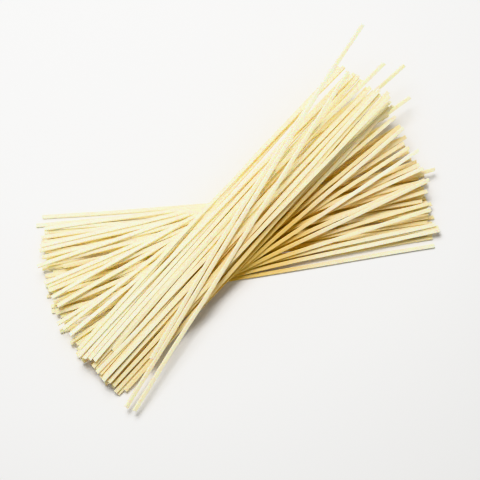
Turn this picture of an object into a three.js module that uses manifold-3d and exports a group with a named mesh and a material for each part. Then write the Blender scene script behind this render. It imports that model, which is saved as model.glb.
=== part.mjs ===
// A loose bundle of dried flat noodle strands, lying on its side.
// It is pinched at the waist and fans out at both ends, each layer turned further than the one below.
// Millimetres, +X along the bundle, +Z up, the lowest layer on z = 0.
import * as THREE from "three";
import { mergeVertices } from "three/addons/utils/BufferGeometryUtils.js";
import Module from "manifold-3d";

// One strand, a flat bar with square-cut ends
const strandLength = 250;
const strandWidth = 2.4;
const strandThickness = 1.6;
const strandBends = 4;

// The stack of layers, from the floor to the top
const layerCount = 10;
const floorLayerStrands = 10;
const topLayerStrands = 9;
const floorTurn = 7.5;
const topTurn = 48.5;
const turnEase = 0.14;
const floorFan = 2.5;
const floorTipHalfWidth = 20;
const topTipHalfWidth = 10;
const floorTipShift = -6;
const topTipShift = 4;
const floorWaistHalfWidth = 19;
const topWaistHalfWidth = 11;
const floorWaistShift = -6;
const topWaistShift = 5;

// How unevenly the strands lie, angles in degrees
const seed = 50;
const placeJitter = 0.7;
const floorTurnJitter = 2;
const topTurnJitter = 4.5;
const slideJitter = 4.5;
const bowJitter = 1.2;
const rollJitter = 10;
const flankRoll = 18;
const flankLayers = 4;
const strayRoll = 30;

// How a strand settles on the ones below
const heapReach = 170;
const heapCell = 0.5;
const stationStep = 1;
const stationSamples = 7;
const sidewaysStep = 0.6;
const sidewaysSteps = 12;
const straySteps = 6;
const sidewaysCost = 0.02;
const settleBite = 0.4;
const steepestSlope = 0.14;
const topLean = -50;
const leanStartsAt = 0.3;
const leanGrowth = 1.5;

// Strands that have slipped out past the rest
const strays = [
  { layer: 0, turn: 4.5, tipSide: 21, waistSide: 20.5, slide: -2 },
  { layer: 0, turn: 5, tipSide: 17.5, waistSide: 17.5, slide: -6 },
  { layer: 2, turn: 15, tipSide: 5, waistSide: 2, slide: 11 },
  { layer: 5, turn: 34, tipSide: 7, waistSide: 3, slide: 20 },
  { layer: 7, turn: 43, tipSide: 2, waistSide: 3, slide: 28 },
  { layer: 9, turn: 47, tipSide: 4, waistSide: 8, slide: 15 },
  { layer: 9, turn: 58, tipSide: 4, waistSide: 7, slide: 26 },
  { layer: 9, turn: 57.5, tipSide: -4, waistSide: -4, slide: -6 },
  { layer: 9, turn: 58.5, tipSide: 1, waistSide: 1, slide: -7 },
];

// The packed middle that the strands are fused to
const coreHalfLength = 40;
const coreFloorGap = 1;
const coreSideInset = 1;
const coreTopLayer = 0.86;
const waistHeight = 16;
const coreEndTaper = 0.5;
const coreAlongSteps = 6;
const coreSideSteps = 2;
const coreHeightSteps = 4;

const noodleColour = 0xf2e2a8;
const noodleRoughness = 0.55;
const weldDistance = 1e-4;
const drawFactor = 16807;
const drawModulus = 2147483647;

const degree = Math.PI / 180;
const halfLength = strandLength / 2;
const mix = THREE.MathUtils.lerp;

// Repeatable draws: a flat one from 0 to 1, and one from -1 to 1 that favours the middle
let drawState = seed;
function drawFlat() {
  drawState = (drawState * drawFactor) % drawModulus;
  return drawState / drawModulus;
}
function drawSpread() {
  return (drawFlat() + drawFlat() + drawFlat()) / 1.5 - 1;
}

// The bow of a thin bar pressed at its middle: 1 at the waist, 0 at the tips
function bowShape(along) {
  const s = Math.abs(along) / halfLength;
  return s < 1 ? 1 - 1.5 * s * s + 0.5 * s * s * s : 1.5 - 1.5 * s;
}

// Where a strand is in plan, at a distance along it from the waist
function planPoint(strand, along) {
  const bow = (strand.waistSide - strand.tipSide) * bowShape(along);
  const side = strand.tipSide + bow + strand.shift;
  const c = Math.cos(strand.turn * degree);
  const s = Math.sin(strand.turn * degree);
  return new THREE.Vector2(along * c - side * s, along * s + side * c);
}

// The unit vector across a strand in plan
function planNormal(strand, along) {
  const step = planPoint(strand, along + stationStep).sub(planPoint(strand, along - stationStep)).normalize();
  return new THREE.Vector2(-step.y, step.x);
}

// The direction of a layer, which changes fastest half way up
function layerTurn(u) {
  return mix(floorTurn, topTurn, u - turnEase * Math.sin(2 * Math.PI * u));
}

// Lays out one layer of strands, in a drawn order
function layLayer(layer) {
  const u = layer / (layerCount - 1);
  const count = Math.round(mix(floorLayerStrands, topLayerStrands, u));
  const turnJitter = mix(floorTurnJitter, topTurnJitter, u);
  const waistHalfWidth = mix(floorWaistHalfWidth, topWaistHalfWidth, u);
  const waistShift = mix(floorWaistShift, topWaistShift, u);
  const tipHalfWidth = mix(floorTipHalfWidth, topTipHalfWidth, u);
  const tipShift = mix(floorTipShift, topTipShift, u);
  const flank = flankRoll * Math.min(1, layer / flankLayers);
  const lean = topLean * THREE.MathUtils.clamp(((u - leanStartsAt) / (1 - leanStartsAt)) * leanGrowth, 0, 1);
  const order = Array.from({ length: count }, (_, place) => ({ place, key: drawFlat() }));
  order.sort((a, b) => a.key - b.key);
  const laid = order.map(({ place }) => {
    const v = -1 + (2 * place) / (count - 1) + (placeJitter / count) * drawSpread();
    const turn = layerTurn(u) - floorFan * v * (1 - u) + turnJitter * drawSpread();
    const slide = slideJitter * drawSpread();
    const waistSide = v * waistHalfWidth + waistShift + bowJitter * drawSpread();
    const roll = layer === 0 ? 0 : rollJitter * drawSpread() - flank * v;
    const tipSide = v * tipHalfWidth + tipShift;
    return { turn, slide, tipSide, waistSide, roll, lean, steps: sidewaysSteps };
  });
  const slipped = strays.filter((stray) => stray.layer === layer);
  const roll = layer === 0 ? 0 : strayRoll;
  return laid.concat(slipped.map((stray) => ({ ...stray, roll, lean, steps: straySteps })));
}

// The heap so far, as the height of its top over a grid
const heapSide = (2 * heapReach) / heapCell;
const heapTop = new Float64Array(heapSide * heapSide);
function heapIndex(point) {
  const column = Math.floor((point.x + heapReach) / heapCell);
  const row = Math.floor((point.y + heapReach) / heapCell);
  return row * heapSide + column;
}

// The grid cells under each station of a strand, at some distances across it
function footprint(strand, stations, reaches) {
  return stations.map((offset) => {
    const along = offset + strand.slide;
    const middle = planPoint(strand, along);
    const across = planNormal(strand, along);
    return reaches.map((reach) => heapIndex(middle.clone().addScaledVector(across, reach)));
  });
}

// The lowest straight line that clears every station and balances about the lean point
function restingLine(stations, floors, lean) {
  let best = { level: -Infinity, slope: 0 };
  stations.forEach((left, i) => {
    if (left >= lean) return;
    stations.forEach((right, j) => {
      if (right <= lean) return;
      const slope = (floors[j] - floors[i]) / (right - left);
      const level = floors[i] + slope * (lean - left);
      if (level > best.level) best = { level, slope };
    });
  });
  const slope = THREE.MathUtils.clamp(best.slope, -steepestSlope, steepestSlope);
  const middle = Math.max(...stations.map((offset, i) => floors[i] - slope * offset));
  return { slope, middle, level: middle + slope * lean };
}

// Drops a strand onto the heap at the sideways place where it lies lowest
function settle(strand) {
  const c = Math.cos(strand.roll * degree);
  const s = Math.sin(strand.roll * degree);
  const lowest = (strandWidth * Math.abs(s) + strandThickness * c) / 2;
  const halfHeight = strandThickness / (2 * c);
  const samples = Array.from({ length: stationSamples }, (_, n) => n / (stationSamples - 1) - 0.5);
  const reaches = samples.map((share) => share * strandWidth * c);
  const rises = samples.map((share) => share * strandWidth * s);
  const stationCount = strandLength / stationStep + 1;
  const stations = Array.from({ length: stationCount }, (_, n) => n * stationStep - halfLength);
  let best = { cost: Infinity };
  for (let step = -strand.steps; step <= strand.steps; step++) {
    strand.shift = step * sidewaysStep;
    const cells = footprint(strand, stations, reaches);
    const floors = cells.map((under) => {
      const top = Math.max(...under.map((cell, n) => heapTop[cell] - rises[n]));
      return Math.max(lowest, halfHeight + top - settleBite);
    });
    const line = restingLine(stations, floors, strand.lean);
    const cost = line.level + sidewaysCost * Math.abs(strand.shift);
    if (cost < best.cost) best = { cost, cells, line, shift: strand.shift };
  }
  strand.shift = best.shift;
  strand.middle = best.line.middle;
  strand.slope = best.line.slope;
  best.cells.forEach((under, n) => {
    const top = strand.middle + strand.slope * stations[n] + halfHeight;
    under.forEach((cell, m) => {
      heapTop[cell] = Math.max(heapTop[cell], top + rises[m]);
    });
  });
  return strand;
}

const wasm = await Module();
wasm.setup();

// A closed geometry as a solid to join
function solidOf(geometry) {
  geometry.deleteAttribute("normal");
  geometry.deleteAttribute("uv");
  const merged = mergeVertices(geometry, weldDistance);
  const mesh = new wasm.Mesh({
    numProp: 3,
    vertProperties: merged.attributes.position.array,
    triVerts: new Uint32Array(merged.index.array),
  });
  return new wasm.Manifold(mesh);
}

// Moves every corner of a box by a rule
function reshape(box, rule) {
  const corners = box.attributes.position;
  const corner = new THREE.Vector3();
  for (let n = 0; n < corners.count; n++) {
    rule(corner.fromBufferAttribute(corners, n));
    corners.setXYZ(n, corner.x, corner.y, corner.z);
  }
  return box;
}

function strandSolid(strand) {
  const bar = new THREE.BoxGeometry(strandLength, strandWidth, strandThickness, strandBends, 1, 1);
  const c = Math.cos(strand.roll * degree);
  const s = Math.sin(strand.roll * degree);
  return solidOf(
    reshape(bar, (corner) => {
      const along = corner.x + strand.slide;
      const across = corner.y * c - corner.z * s;
      const up = corner.y * s + corner.z * c;
      const place = planPoint(strand, along).addScaledVector(planNormal(strand, along), across);
      corner.set(place.x, place.y, strand.middle + strand.slope * corner.x + up);
    }),
  );
}

function coreSolid() {
  const block = new THREE.BoxGeometry(2, 2, 1, coreAlongSteps, coreSideSteps, coreHeightSteps);
  return solidOf(
    reshape(block, (corner) => {
      const u = (corner.z + 0.5) * coreTopLayer;
      const along = corner.x * coreHalfLength;
      const fullness = 1 - coreEndTaper * corner.x * corner.x;
      const halfWidth = mix(floorWaistHalfWidth, topWaistHalfWidth, u) - coreSideInset;
      const side = corner.y * halfWidth * fullness + mix(floorWaistShift, topWaistShift, u);
      const turn = layerTurn(u) * degree;
      corner.set(
        along * Math.cos(turn) - side * Math.sin(turn),
        along * Math.sin(turn) + side * Math.cos(turn),
        coreFloorGap + u * waistHeight * fullness,
      );
    }),
  );
}

const layers = Array.from({ length: layerCount }, (_, layer) => layLayer(layer));
const strands = layers.flat().map(settle);
const fused = strands.reduce((solid, strand) => solid.add(strandSolid(strand)), coreSolid());

// Fusing seals a few tiny hollows, which are filled by keeping the outer body alone
const bodies = fused.decompose().sort((a, b) => b.volume() - a.volume());
const shell = bodies[0].getMesh();

const geometry = new THREE.BufferGeometry();
geometry.setAttribute("position", new THREE.BufferAttribute(shell.vertProperties, shell.numProp));
geometry.setIndex(new THREE.BufferAttribute(shell.triVerts, 1));
geometry.computeBoundingBox();
const middle = geometry.boundingBox.getCenter(new THREE.Vector3());
geometry.translate(-middle.x, -middle.y, -geometry.boundingBox.min.z);
geometry.computeVertexNormals();

const noodle = new THREE.MeshStandardMaterial({
  color: noodleColour,
  roughness: noodleRoughness,
  metalness: 0,
});
const bundle = new THREE.Mesh(geometry, noodle);
bundle.name = "spaghetti_bundle";

const group = new THREE.Group();
group.add(bundle);
export default group;
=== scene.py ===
import math

import bpy
import numpy as np
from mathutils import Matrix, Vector


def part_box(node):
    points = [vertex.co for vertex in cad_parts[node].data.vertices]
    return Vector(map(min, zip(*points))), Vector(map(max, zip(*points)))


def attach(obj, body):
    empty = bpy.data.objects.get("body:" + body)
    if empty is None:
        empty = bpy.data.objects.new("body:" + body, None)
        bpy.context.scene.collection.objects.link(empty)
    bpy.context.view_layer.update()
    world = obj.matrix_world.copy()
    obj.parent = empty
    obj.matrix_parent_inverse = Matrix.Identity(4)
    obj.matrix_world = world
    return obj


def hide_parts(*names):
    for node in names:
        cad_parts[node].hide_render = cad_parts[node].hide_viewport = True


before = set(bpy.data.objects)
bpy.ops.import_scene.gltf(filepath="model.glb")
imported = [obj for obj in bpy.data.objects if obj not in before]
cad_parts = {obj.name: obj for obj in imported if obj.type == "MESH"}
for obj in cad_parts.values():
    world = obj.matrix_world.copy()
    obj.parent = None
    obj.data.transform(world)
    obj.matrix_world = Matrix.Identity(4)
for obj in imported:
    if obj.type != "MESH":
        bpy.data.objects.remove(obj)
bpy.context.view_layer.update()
bundleNode = "spaghetti_bundle"
mm = 0.001
print("frame loaded:", ", ".join(sorted(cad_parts)))


# the heap of strands, in millimetres and degrees, pairs run from the floor layer to the top one
bundle = {
    "layers": 10,
    "strandsInLayer": (10, 9),
    "turn": (7.5, 48.5),
    "turnEase": 0.14,
    "floorFan": 2.5,
    "tipHalfWidth": (20.0, 10.0),
    "waistHalfWidth": (19.0, 11.0),
    "tipShift": (-6.0, 4.0),
    "waistShift": (-6.0, 5.0),
    "seed": 50,
    "placeJitter": 0.7,
    "turnJitter": (2.0, 4.5),
    "slideJitter": 4.5,
    "bowJitter": 1.2,
    "rollJitter": 10.0,
    "flankRoll": 18.0,
    "flankLayers": 4,
    "strayRoll": 30.0,
    "lean": -50.0,
    "leanStartsAt": 0.3,
    "leanGrowth": 1.5,
    "strays": [  # layer, turn, side at the tips, side at the waist, slide along
        (0, 4.5, 21.0, 20.5, -2.0),
        (0, 5.0, 17.5, 17.5, -6.0),
        (2, 15.0, 5.0, 2.0, 11.0),
        (5, 34.0, 7.0, 3.0, 20.0),
        (7, 43.0, 2.0, 3.0, 28.0),
        (9, 47.0, 4.0, 8.0, 15.0),
        (9, 58.0, 4.0, 7.0, 26.0),
        (9, 57.5, -4.0, -4.0, -6.0),
        (9, 58.5, 1.0, 1.0, -7.0),
    ],
}

# how a strand settles on the ones below
heap = {
    "reach": 170.0,
    "cell": 0.5,
    "step": 1.0,
    "samples": 7,
    "sidewaysStep": 0.6,
    "sidewaysSteps": 12,
    "straySteps": 6,
    "sidewaysCost": 0.02,
    "bite": 0.4,
    "steepest": 0.14,
}

# one strand, a flat extruded bar with square-cut ends
strand = {
    "length": 250.0,
    "width": 2.4,
    "thickness": 1.6,
    "cornerRadius": 0.18,
    "cornerSegments": 1,
    "endChamfer": 0.1,
    "cuts": 15,
    "smoothAngle": 20.0,
    "widthSpread": 0.05,
    "waveHeight": 0.22,
    "waveLeast": 0.3,
    "waveLength": (70.0, 150.0),
    "twist": 5.0,
    "cutSkew": 0.35,
    "cutReach": 1.0,
    "seed": 11,
}

# how far a strand lies below its neighbours, for the painted golden shade in the gaps and the painted amber
# shade on the front right of the waist
paintedShade = {
    "gapReach": 3.5,
    "gapDepth": 4.0,
    "gapShare": 0.35,
    "shelterReach": 14.0,
    "shelterDepth": 12.0,
    "packedReach": 80.0,
    "shadedSideTurn": 38.0,
    "shadedSideReach": 12.0,
}


def mix(pair, u):
    return (1 - u) * pair[0] + u * pair[1]


class Draws:  # repeatable draws, the same ones that lay out the solid
    factor = 16807
    modulus = 2147483647

    def __init__(self, seed):
        self.state = seed

    def flat(self):
        self.state = (self.state * self.factor) % self.modulus
        return self.state / self.modulus

    def spread(self):  # from -1 to 1, mostly near 0
        return (self.flat() + self.flat() + self.flat()) / 1.5 - 1


def planPath(one, along):  # where a strand is in plan, bowed as a thin bar pressed at its middle
    s = np.abs(along) / (strand["length"] / 2)
    bow = np.where(s < 1, 1 - 1.5 * s * s + 0.5 * s * s * s, 1.5 - 1.5 * s)
    side = one["tipSide"] + (one["waistSide"] - one["tipSide"]) * bow + one["shift"]
    c = math.cos(math.radians(one["turn"]))
    s = math.sin(math.radians(one["turn"]))
    return np.stack([along * c - side * s, along * s + side * c], axis=-1)


def planNormal(one, along):
    step = planPath(one, along + heap["step"]) - planPath(one, along - heap["step"])
    step = step / np.linalg.norm(step, axis=-1, keepdims=True)
    return np.stack([-step[..., 1], step[..., 0]], axis=-1)


def layLayer(layer, draws):
    u = layer / (bundle["layers"] - 1)
    count = int(mix(bundle["strandsInLayer"], u) + 0.5)
    turnAll = mix(bundle["turn"], u - bundle["turnEase"] * math.sin(2 * math.pi * u))
    leaning = (u - bundle["leanStartsAt"]) / (1 - bundle["leanStartsAt"]) * bundle["leanGrowth"]
    lean = bundle["lean"] * min(1, max(0, leaning))
    order = sorted((draws.flat(), place) for place in range(count))
    laid = []

    def lay(turn, tipSide, waistSide, slide, roll, steps):
        laid.append(dict(turn=turn, tipSide=tipSide, waistSide=waistSide, slide=slide, roll=roll,
                         steps=steps, layer=layer, lean=lean))

    for _, place in order:
        v = -1 + 2 * place / (count - 1) + bundle["placeJitter"] / count * draws.spread()
        turn = turnAll - bundle["floorFan"] * v * (1 - u) + mix(bundle["turnJitter"], u) * draws.spread()
        slide = bundle["slideJitter"] * draws.spread()
        waistSide = v * mix(bundle["waistHalfWidth"], u) + mix(bundle["waistShift"], u)
        waistSide += bundle["bowJitter"] * draws.spread()
        flank = bundle["flankRoll"] * v * min(1, layer / bundle["flankLayers"])
        roll = bundle["rollJitter"] * draws.spread() - flank if layer else 0.0
        tipSide = v * mix(bundle["tipHalfWidth"], u) + mix(bundle["tipShift"], u)
        lay(turn, tipSide, waistSide, slide, roll, heap["sidewaysSteps"])
    for strayLayer, turn, tipSide, waistSide, slide in bundle["strays"]:
        if strayLayer == layer:
            lay(turn, tipSide, waistSide, slide, bundle["strayRoll"] if layer else 0.0, heap["straySteps"])
    return laid


def restingLine(stations, floors, lean):  # the lowest line that clears every station and balances at lean
    left, right = stations < lean, stations > lean
    rise = floors[right][None, :] - floors[left][:, None]
    slopes = rise / (stations[right][None, :] - stations[left][:, None])
    levels = floors[left][:, None] + slopes * (lean - stations[left][:, None])
    slope = np.clip(slopes.flat[np.argmax(levels)], -heap["steepest"], heap["steepest"])
    middle = np.max(floors - slope * stations)
    return slope, middle, middle + slope * lean


def settle(one, top):  # drops a strand at the sideways place where it lies lowest
    c = math.cos(math.radians(one["roll"]))
    s = math.sin(math.radians(one["roll"]))
    lowest = (strand["width"] * abs(s) + strand["thickness"] * c) / 2
    halfHeight = strand["thickness"] / (2 * c)
    samples = np.arange(heap["samples"]) / (heap["samples"] - 1) - 0.5
    reach, rise = samples * strand["width"] * c, samples * strand["width"] * s
    half = strand["length"] / 2
    stations = np.arange(-half, half + heap["step"] / 2, heap["step"])
    best = None
    for sideways in range(-one["steps"], one["steps"] + 1):
        one["shift"] = sideways * heap["sidewaysStep"]
        along = stations + one["slide"]
        under = planPath(one, along)[:, None, :] + planNormal(one, along)[:, None, :] * reach[None, :, None]
        cells = cellsAt(under)
        floors = np.maximum(lowest, halfHeight + (top[cells] - rise).max(axis=1) - heap["bite"])
        slope, middle, level = restingLine(stations, floors, one["lean"])
        cost = level + heap["sidewaysCost"] * abs(one["shift"])
        if best is None or cost < best[0]:
            best = (cost, cells, slope, middle, one["shift"])
    _, cells, one["slope"], one["middle"], one["shift"] = best
    height = one["middle"] + one["slope"] * stations + halfHeight
    np.maximum.at(top, cells, height[:, None] + rise[None, :])


def cellsAt(plan):  # the rows and columns of the height map at places in plan
    cells = np.floor((plan + heap["reach"]) / heap["cell"]).astype(int)
    return cells[..., 1], cells[..., 0]


def layBundle():
    draws = Draws(bundle["seed"])
    laid = [one for layer in range(bundle["layers"]) for one in layLayer(layer, draws)]
    side = int(2 * heap["reach"] / heap["cell"])
    top = np.zeros((side, side))
    for one in laid:
        settle(one, top)
    return laid, top


def ridgeLine(top, reach):  # the height of the highest strand nearby, smoothed
    cells = int(reach / heap["cell"])
    ripple = np.hanning(2 * cells + 3)[1:-1]
    for axis in (0, 1):
        top = np.max([np.roll(top, n, axis) for n in range(-cells, cells + 1)], axis=0)
    for axis in (0, 1):
        top = np.apply_along_axis(np.convolve, axis, top, ripple / ripple.sum(), "same")
    return top


strands, heapTop = layBundle()
print("strands laid:", len(strands))


def selectEdges(mesh, wanted):  # edit mode is left on, with only the wanted edges selected
    bpy.ops.object.mode_set(mode="OBJECT")
    for part in (mesh.vertices, mesh.edges, mesh.polygons):
        part.foreach_set("select", [False] * len(part))
    for edge in mesh.edges:
        edge.select = wanted(*(mesh.vertices[n].co for n in edge.vertices))
    bpy.ops.object.mode_set(mode="EDIT")


def modelStrand():  # one straight strand about the origin, in millimetres
    bpy.ops.object.select_all(action="DESELECT")
    bpy.ops.mesh.primitive_cube_add(size=1)
    bar = bpy.context.object
    bar.name = "strand_master"
    bar.scale = (strand["length"], strand["width"], strand["thickness"])
    bpy.ops.object.transform_apply(scale=True)
    bpy.ops.object.mode_set(mode="EDIT")
    bpy.ops.mesh.select_mode(type="EDGE")
    end = strand["length"] / 2
    selectEdges(bar.data, lambda a, b: abs(a.x - b.x) > end)  # the four long edges
    bpy.ops.mesh.bevel(offset=strand["cornerRadius"], segments=strand["cornerSegments"], affect="EDGES")
    selectEdges(bar.data, lambda a, b: abs(a.x) == end and a.x == b.x)  # the rims of both cut ends
    bpy.ops.mesh.bevel(offset=strand["endChamfer"], segments=1, affect="EDGES")
    selectEdges(bar.data, lambda a, b: abs(a.x - b.x) > end)  # all the lengthwise edges
    bpy.ops.mesh.subdivide(number_cuts=strand["cuts"])
    bpy.ops.object.mode_set(mode="OBJECT")
    return bar


def bendStrand(one, flat, random):  # where the master's points go: along the strand, in plan and up
    x, y, z = flat.T
    half = strand["length"] / 2
    wide = 1 + strand["widthSpread"] * random.uniform(-1, 1)
    waveLength = random.uniform(*strand["waveLength"])
    wave = strand["waveHeight"] * random.uniform(strand["waveLeast"], 1)
    wave = wave * np.sin(2 * np.pi * (x / waveLength + random.rand()))
    skew = strand["cutSkew"] * random.uniform(-1, 1, 2)
    twist = strand["twist"] * random.uniform(-1, 1) * (one["layer"] > 0)  # the floor layer lies flat
    nearCut = np.abs(x) > half - strand["cutReach"]
    cut = np.where(x > 0, skew[0], skew[1]) * nearCut * y / (strand["width"] / 2)
    along = x + cut + one["slide"]
    roll = np.radians(one["roll"] + twist * x / half)
    across = wide * y * np.cos(roll) - z * np.sin(roll)
    up = wide * y * np.sin(roll) + z * np.cos(roll)
    plan = planPath(one, along) + planNormal(one, along) * (across + wave)[:, None]
    return along, plan, one["middle"] + one["slope"] * x + up


def paintedWaistShade(along, plan, depth, gap):  # painted amber shade, deep among the strands by the waist, on its front right side only, where the heap lies in shade
    depth = depth * np.clip(1 - (along / paintedShade["packedReach"]) ** 2, 0, 1)
    turn = math.radians(paintedShade["shadedSideTurn"])
    front = plan[:, 0] * math.sin(turn) - plan[:, 1] * math.cos(turn)
    shelter = np.clip(depth ** 2 + paintedShade["gapShare"] * gap, 0, 1)
    return shelter * np.clip(front / paintedShade["shadedSideReach"], 0, 1)


def bendStrands(master, laid):  # every strand as a bent copy of the master, all in one mesh
    flat = np.array([v.co for v in master.data.vertices])
    faces = [tuple(p.vertices) for p in master.data.polygons]
    random = np.random.RandomState(strand["seed"])
    nearRidge = ridgeLine(heapTop, paintedShade["gapReach"])
    farRidge = ridgeLine(heapTop, paintedShade["shelterReach"])
    onCut = np.abs(flat[:, 0]) > strand["length"] / 2 - strand["endChamfer"] / 2
    points, polygons, places = [], [], []
    marks = {"strandTone": [], "strandGapShade": [], "strandWaistShade": [], "strandCut": []}
    for n, one in enumerate(laid):
        along, plan, height = bendStrand(one, flat, random)
        points.append(np.column_stack([plan, height]))
        polygons.extend([tuple(i + n * len(flat) for i in face) for face in faces])
        places.append(flat + (2 * strand["length"] * n, 0, 0))  # so that no two strands have the same streaks
        cells = cellsAt(plan)
        # painted shade: how far below the nearby strands each point lies, turned gold in the gaps and amber
        # by the waist
        gap = np.clip((nearRidge[cells] - height) / paintedShade["gapDepth"], 0, 1)
        depth = np.clip((farRidge[cells] - height) / paintedShade["shelterDepth"], 0, 1)
        marks["strandTone"].append(np.full(len(flat), random.rand()))
        marks["strandGapShade"].append(gap)
        marks["strandWaistShade"].append(paintedWaistShade(along, plan, depth, gap))
        marks["strandCut"].append(onCut.astype(float))
    marks = {name: np.concatenate(values) for name, values in marks.items()}
    return np.concatenate(points) * mm, polygons, marks, np.concatenate(places)


def makeStrands():
    master = modelStrand()
    points, polygons, marks, places = bendStrands(master, strands)
    low, high = (np.array(corner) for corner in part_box(bundleNode))
    centre = (points.min(axis=0) + points.max(axis=0)) / 2
    move = (low + high) / 2 - centre
    move[2] = low[2] - points[:, 2].min()
    mesh = bpy.data.meshes.new("spaghetti_strands")
    mesh.from_pydata(points + move, [], polygons)
    for name, values in marks.items():
        mesh.attributes.new(name, "FLOAT", "POINT").data.foreach_set("value", values)
    placeLayer = mesh.attributes.new("strandPlace", "FLOAT_VECTOR", "POINT")
    placeLayer.data.foreach_set("vector", places.ravel())
    piece = bpy.data.objects.new("spaghetti_strands", mesh)
    bpy.context.collection.objects.link(piece)
    bpy.data.objects.remove(master)
    bpy.ops.object.select_all(action="DESELECT")
    piece.select_set(True)
    bpy.context.view_layer.objects.active = piece
    bpy.ops.object.shade_smooth_by_angle(angle=math.radians(strand["smoothAngle"]))
    print("strands made:", len(mesh.vertices), "points,", len(mesh.polygons), "faces, moved by", move)
    return piece


class Wire:  # a shader socket that takes part in arithmetic
    def __init__(self, tree, socket):
        self.tree = tree
        self.socket = socket

    def maths(self, operation, first, second):
        node = self.tree.nodes.new("ShaderNodeMath")
        node.operation = operation
        for plug, value in zip(node.inputs, (first, second)):
            if isinstance(value, Wire):
                self.tree.links.new(value.socket, plug)
            else:
                plug.default_value = value
        return Wire(self.tree, node.outputs[0])

    def __add__(self, other):
        return self.maths("ADD", self, other)

    __radd__ = __add__

    def __mul__(self, other):
        return self.maths("MULTIPLY", self, other)

    __rmul__ = __mul__


class Finish:  # a node material, built up node by node
    def __init__(self, name):
        self.material = bpy.data.materials.new(name)
        self.material.use_nodes = True
        self.tree = self.material.node_tree
        self.surface = self.tree.nodes["Principled BSDF"]

    def plug(self, socket, value):
        if isinstance(value, Wire):
            self.tree.links.new(value.socket, socket)
        else:
            socket.default_value = value

    def node(self, kind, settings=(), sockets=(), output=0):
        node = self.tree.nodes.new("ShaderNode" + kind)
        for name, value in dict(settings).items():
            setattr(node, name, value)
        for name, value in dict(sockets).items():
            self.plug(node.inputs[name], value)
        return Wire(self.tree, node.outputs[output])

    def mark(self, name, output=2):  # a number kept on the mesh, or with output 1 a place
        return self.node("Attribute", {"attribute_name": name}, output=output)

    def ramp(self, value, low, high):  # 0 below low, 1 above high
        sockets = {"Value": value, "From Min": low, "From Max": high}
        return self.node("MapRange", {"interpolation_type": "SMOOTHSTEP"}, sockets)

    def blend(self, share, under, over):
        return self.node("Mix", {"data_type": "RGBA"}, {0: share, 6: under, 7: over}, 2)

    def noise(self, place, stretch, detail):  # noise on a stretched place, so many cycles a millimetre
        scaled = self.node("VectorMath", {"operation": "MULTIPLY"}, {0: place, 1: stretch})
        return self.node("TexNoise", {}, {"Vector": scaled, "Scale": 1.0, "Detail": detail})

    def surfaces(self, values):
        for name, value in values.items():
            self.plug(self.surface.inputs[name], value)


# dried pasta: ivory to straw from strand to strand, extrusion streaks, floury specks and pale cut ends,
# painted golden shade in the gaps and painted amber shade on the front right of the waist
pasta = {
    "ivory": (0.96, 0.925, 0.77, 1),
    "straw": (0.95, 0.885, 0.645, 1),
    # painted shade colours: gold for the gaps, amber for the shaded side of the waist
    "gapShadeGold": (0.94, 0.86, 0.59, 1),
    "waistShadeAmber": (0.76, 0.54, 0.17, 1),
    "flour": (0.95, 0.92, 0.82, 1),
    "streakStretch": (0.012, 1.6, 1.6),
    "streakDetail": 3.0,
    "streakLimits": (0.45, 0.75),
    "streakShare": 0.5,
    "speckStretch": (0.8, 3.0, 3.0),
    "speckDetail": 4.0,
    "speckLimits": (0.55, 0.8),
    "speckShare": 0.3,
    "speckRoughness": 0.2,
    "speckHeight": 0.4,
    "cutShare": 0.6,
    "roughness": 0.48,
    "bump": 0.15,
    "bumpDistance": 0.0002,
    "subsurface": 0.8,
    "subsurfaceRadius": (1.5, 1.2, 0.7),
    "subsurfaceScale": 0.0012,
}


def pastaFinish():
    finish = Finish("dried_pasta")
    place = finish.mark("strandPlace", 1)
    streak = finish.noise(place, pasta["streakStretch"], pasta["streakDetail"])
    speck = finish.noise(place, pasta["speckStretch"], pasta["speckDetail"])
    streaks = finish.ramp(streak, *pasta["streakLimits"]) * pasta["streakShare"]
    specks = finish.ramp(speck, *pasta["speckLimits"]) * pasta["speckShare"]
    body = finish.blend(finish.mark("strandTone"), pasta["ivory"], pasta["straw"])
    streaked = finish.blend(streaks, body, pasta["straw"])
    # painted shade: gold where a strand lies down between its neighbours, amber on the shaded front right of
    # the waist
    golden = finish.blend(finish.mark("strandGapShade"), streaked, pasta["gapShadeGold"])
    deep = finish.blend(finish.mark("strandWaistShade"), golden, pasta["waistShadeAmber"])
    floury = finish.blend(specks + finish.mark("strandCut") * pasta["cutShare"], deep, pasta["flour"])
    height = streak + speck * pasta["speckHeight"]
    bump = {"Strength": pasta["bump"], "Distance": pasta["bumpDistance"], "Height": height}
    finish.surfaces({
        "Base Color": floury,
        "Roughness": pasta["roughness"] + speck * pasta["speckRoughness"],
        "Normal": finish.node("Bump", {}, bump),
        "Subsurface Weight": pasta["subsurface"],
        "Subsurface Radius": pasta["subsurfaceRadius"],
        "Subsurface Scale": pasta["subsurfaceScale"],
    })
    return finish.material


strandsPiece = makeStrands()
strandsPiece.data.materials.append(pastaFinish())
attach(strandsPiece, "root")
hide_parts(bundleNode)


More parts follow.
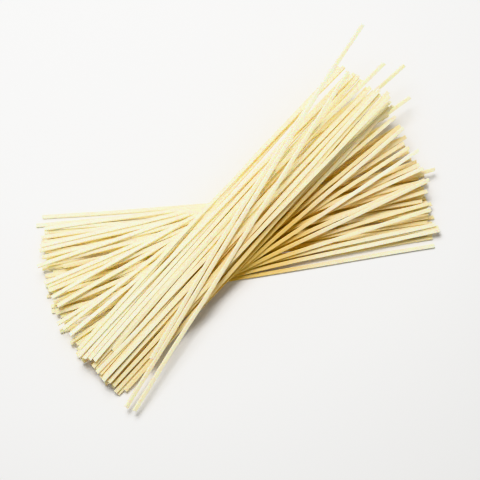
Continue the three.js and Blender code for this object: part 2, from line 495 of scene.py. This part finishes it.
# plain white table, soft light from above and a little behind, camera nearly overhead
studio = {
    "floorSize": 8.0,
    "floorColour": (0.88, 0.88, 0.88, 1),
    "floorRoughness": 0.9,
    "floorSpecular": 0.1,
    "skyColour": (1.0, 0.985, 0.94, 1),
    "skyStrength": 0.32,
    "keyPlace": (-0.12, 0.24, 0.53),
    "keySize": 0.35,
    "keyPower": 5.2,
    "bounces": 24,  # light goes on from strand to strand, and the gaps stay golden
}

view = {
    "lens": 70.0,
    "elevation": 75.0,
    "target": (0.0018, -0.0129, 0.008),
    "distance": 0.600,
}


def aim(thing, place, target):
    thing.location = place
    thing.rotation_euler = (Vector(target) - Vector(place)).to_track_quat("-Z", "Y").to_euler()


def makeTable():
    bpy.ops.mesh.primitive_plane_add(size=studio["floorSize"])
    floor = bpy.context.object
    floor.name = "floor"
    finish = Finish("white_table")
    finish.surfaces({
        "Base Color": studio["floorColour"],
        "Roughness": studio["floorRoughness"],
        "Specular IOR Level": studio["floorSpecular"],
    })
    floor.data.materials.append(finish.material)


def makeLight():
    scene = bpy.context.scene
    scene.view_settings.view_transform = "Khronos PBR Neutral"  # keeps the brightly lit side from washing out
    scene.cycles.max_bounces = studio["bounces"]
    scene.cycles.diffuse_bounces = studio["bounces"]
    scene.world = bpy.data.worlds.new("soft_sky")
    scene.world.use_nodes = True
    sky = scene.world.node_tree.nodes["Background"]
    sky.inputs["Color"].default_value = studio["skyColour"]
    sky.inputs["Strength"].default_value = studio["skyStrength"]
    bpy.ops.object.light_add(type="AREA")
    key = bpy.context.object
    key.name = "window_light"
    key.data.energy = studio["keyPower"]
    key.data.size = studio["keySize"]
    aim(key, studio["keyPlace"], (0, 0, 0))


def makeCamera():
    rise = math.radians(view["elevation"])
    target = Vector(view["target"])
    bpy.ops.object.camera_add()
    camera = bpy.context.object
    camera.data.lens = view["lens"]
    aim(camera, target + view["distance"] * Vector((0, -math.cos(rise), math.sin(rise))), target)
    bpy.context.scene.camera = camera


makeTable()
makeLight()
makeCamera()
print("table, light and camera placed")
